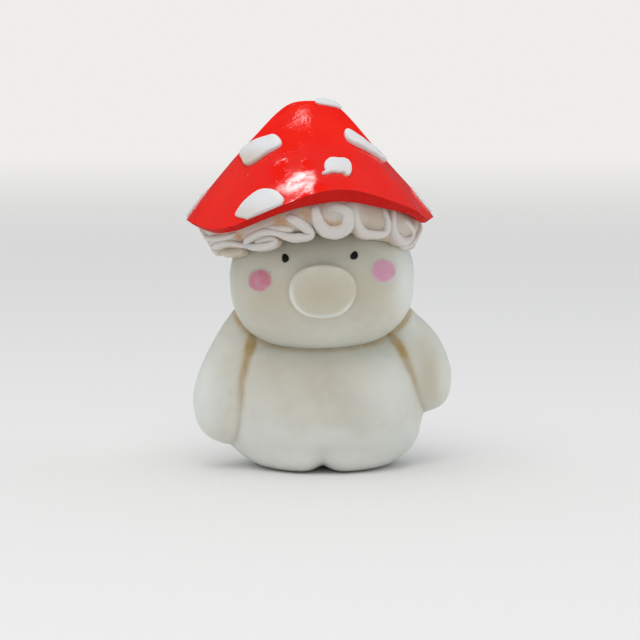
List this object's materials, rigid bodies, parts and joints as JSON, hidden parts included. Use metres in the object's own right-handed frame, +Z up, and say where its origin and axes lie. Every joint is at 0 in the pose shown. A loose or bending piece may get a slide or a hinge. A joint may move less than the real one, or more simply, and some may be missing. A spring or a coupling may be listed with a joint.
{
  "type": "mushroom figurine",
  "caption": "Standing clay figurine with a pear-shaped body, resting arms and a round-nosed head under a drooping spotted mushroom cap with a looped frill.",
  "frame": {"origin": "on the ground, in the middle of the flat underside", "axes": "+Z up through the head and cap, -Y towards the face's front, +X to the right as the front is seen"},
  "size_m": [0.0401, 0.0353, 0.055],
  "materials": {
    "pale_clay": "baked polymer clay, greenish cream, satin",
    "white_clay": "baked polymer clay, white, satin",
    "red_clay": "baked polymer clay under clear gloss varnish",
    "pink_clay": "baked polymer clay, soft pink, matt",
    "black_clay": "black bead, glossy",
    "wood": "plain wooden pin"
  },
  "bodies": {
    "root": {"body": "pale_clay", "arm_left": "pale_clay", "arm_right": "pale_clay", "head": "pale_clay", "nose": "pale_clay", "eye_left": "black_clay", "eye_right": "black_clay", "cheek_left": "pink_clay", "cheek_right": "pink_clay", "cap": "red_clay", "cap_collar": "white_clay", "gill_frill": "white_clay", "neck_pin": "wood", "spot_top": "white_clay", "spot_upper_left": "white_clay", "spot_upper_right": "white_clay", "spot_front_right": "white_clay", "spot_lower_left": "white_clay", "spot_left_edge": "white_clay", "spot_right_edge": "white_clay", "spot_back_top": "white_clay", "spot_back_left": "white_clay", "spot_back_right": "white_clay", "spot_back_low": "white_clay"}
  },
  "joints": []
}
